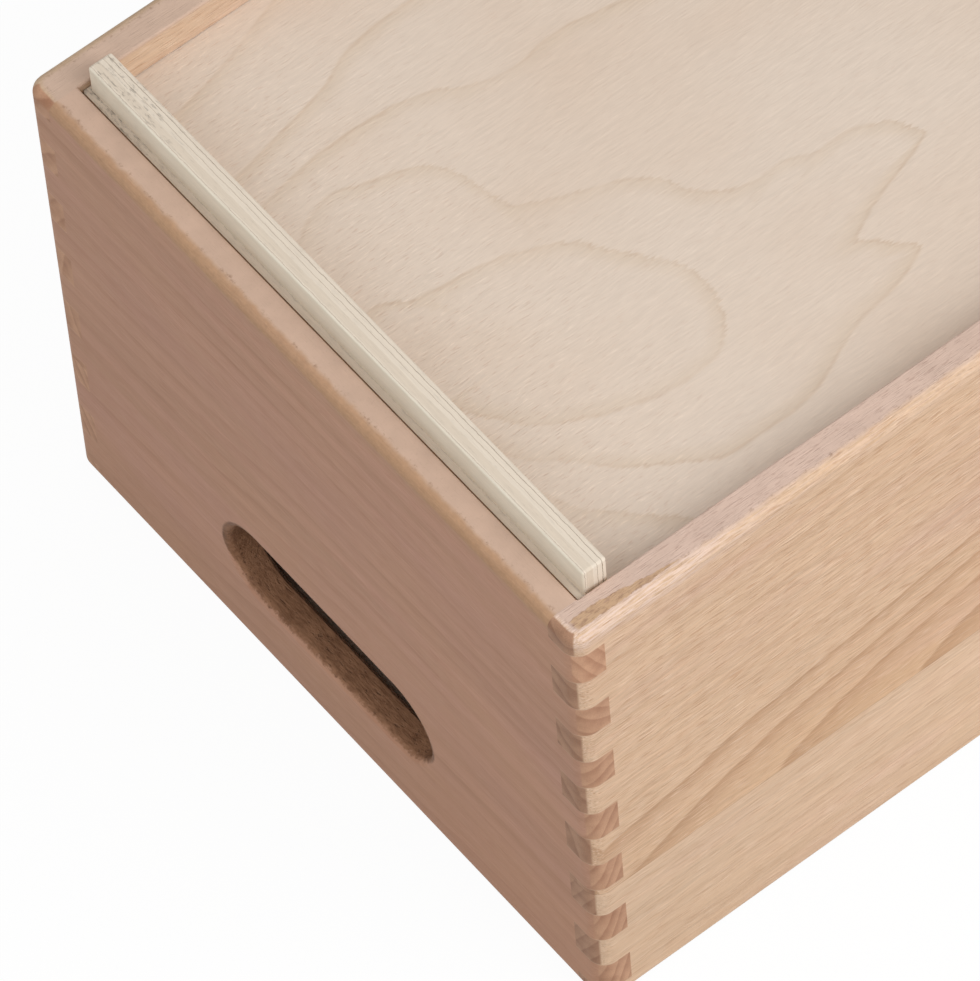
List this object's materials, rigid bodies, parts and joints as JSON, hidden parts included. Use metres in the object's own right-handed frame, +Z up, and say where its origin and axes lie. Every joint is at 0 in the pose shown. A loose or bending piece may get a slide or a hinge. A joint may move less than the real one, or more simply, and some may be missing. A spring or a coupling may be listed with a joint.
{
  "type": "sliding lid tool box",
  "caption": "Finger-jointed beech box with hand slots in its ends and a plywood lid that slides in grooves and is pushed by a stepped batten.",
  "frame": {"origin": "on the ground under the middle of the box", "axes": "+Z up, +X along the box from the full-height end to the low end that the lid leaves over, -Y the right-hand long wall"},
  "size_m": [0.4, 0.3, 0.2396],
  "materials": {
    "beech": "sanded bare beech, matte",
    "plywood": "sanded birch plywood face, matte",
    "plywood_edge": "plywood on edge with its plies showing, matte",
    "screw_steel": "zinc plated, satin"
  },
  "bodies": {
    "box": {"near_end_wall": "beech", "far_end_wall": "beech", "right_wall_upper_board": "beech", "right_wall_lower_board": "beech", "left_wall_upper_board": "beech", "left_wall_lower_board": "beech", "floor_panel": "plywood"},
    "lid": {"lid_panel": "plywood", "grip_batten": "plywood_edge", "batten_screws": "screw_steel"}
  },
  "joints": [
    {"name": "lid_slide", "type": "slide", "parent": "box", "child": "lid", "axis": [1, 0, 0], "range_m": [0, 0.39]}
  ]
}
